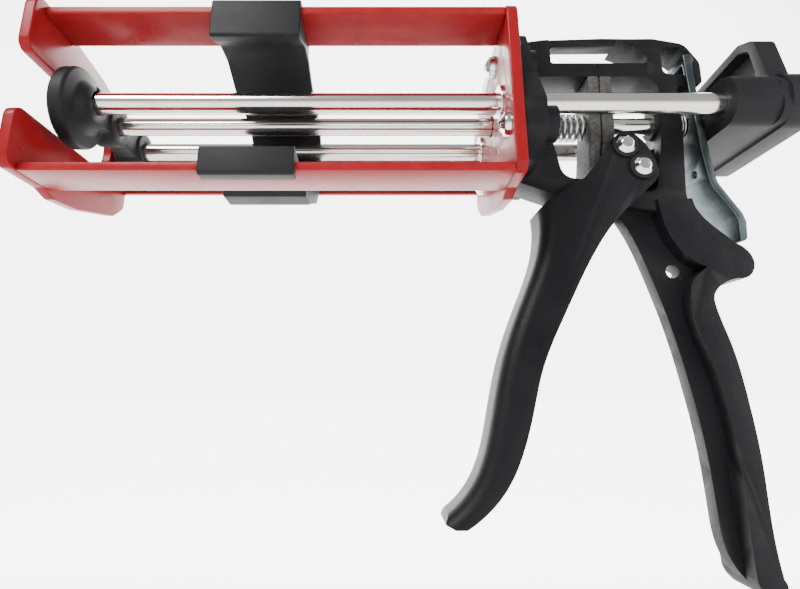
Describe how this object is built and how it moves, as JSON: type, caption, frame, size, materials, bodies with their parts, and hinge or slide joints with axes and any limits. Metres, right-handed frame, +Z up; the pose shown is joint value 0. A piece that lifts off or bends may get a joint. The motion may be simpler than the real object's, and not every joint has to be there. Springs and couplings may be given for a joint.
{
  "type": "two component cartridge dispensing gun",
  "caption": "Hand dispensing gun with a side-loading sheet steel cradle, twin push rods with unequal pistons, gripping-plate trigger drive, release lever and pull loop.",
  "frame": {"origin": "where the drive rod's axis crosses the inner face of the back plate", "axes": "+X back along the rods towards the pull loop, +Y away from the loading side, +Z up, handles pointing down"},
  "size_m": [0.2799, 0.0785, 0.2056],
  "materials": {
    "red_gloss_paint": "gloss",
    "black_casting": "satin",
    "black_plastic": "matte",
    "bright_rod": "polished",
    "black_iron": "rough",
    "zinc_plate": "satin",
    "spring_steel": "satin"
  },
  "bodies": {
    "frame": {"cradle_front_plate": "red_gloss_paint", "cradle_back_plate": "red_gloss_paint", "cradle_top_rail": "red_gloss_paint", "cradle_bottom_rail": "red_gloss_paint", "cradle_floor_rail": "red_gloss_paint", "handle_casting": "black_casting", "flange_screw_top": "bright_rod", "flange_screw_near": "bright_rod", "flange_screw_far": "bright_rod", "rod_bush_near": "bright_rod", "rod_bush_far": "bright_rod", "rear_rod_bush": "black_plastic", "trigger_pivot_pin": "bright_rod", "trigger_pivot_pin_collar": "black_plastic", "trigger_pivot_pin_retainer": "black_plastic", "drive_spring": "spring_steel", "release_spring": "spring_steel"},
    "rod_carriage": {"push_rod_near": "bright_rod", "push_rod_far": "bright_rod", "drive_rod": "bright_rod", "twin_piston_pusher": "black_plastic", "rear_yoke": "black_plastic", "yoke_screw_near": "bright_rod", "yoke_screw_far": "bright_rod"},
    "trigger": {"trigger": "black_casting", "drive_pin": "bright_rod", "drive_pin_collar": "black_plastic", "drive_pin_retainer": "black_plastic"},
    "drive_plates": {"drive_plate_front": "black_iron", "drive_plate_rear": "black_iron"},
    "release_lever": {"release_lever": "zinc_plate"},
    "support_clip": {"cartridge_support_clip": "black_plastic"}
  },
  "joints": [
    {"name": "rod_travel", "type": "slide", "parent": "frame", "child": "rod_carriage", "axis": [1, 0, 0], "range_m": [0, 0.14]},
    {"name": "trigger_squeeze", "type": "hinge", "parent": "frame", "child": "trigger", "pos_m": [0.0535, 0, -0.0218], "axis": [0, -1, 0], "range_deg": [0, 28], "stiffness_Nm_per_rad": 0.6, "springref_deg": -17.19},
    {"name": "drive_plate_shift", "type": "slide", "parent": "frame", "child": "drive_plates", "axis": [-1, 0, 0], "range_m": [0, 0.0048], "deforming": ["drive_spring"]},
    {"name": "release_press", "type": "hinge", "parent": "frame", "child": "release_lever", "pos_m": [0.078, 0, 0.025], "axis": [0, 1, 0], "range_deg": [0, 3.6], "stiffness_Nm_per_rad": 0.5, "springref_deg": -17.19, "deforming": ["release_spring"]},
    {"name": "clip_slide", "type": "slide", "parent": "frame", "child": "support_clip", "axis": [1, 0, 0], "range_m": [-0.058, 0.066]}
  ],
  "couplings": [
    {"joint": "drive_plate_shift", "follows": "trigger_squeeze", "m_per_rad": 0.0087}
  ]
}
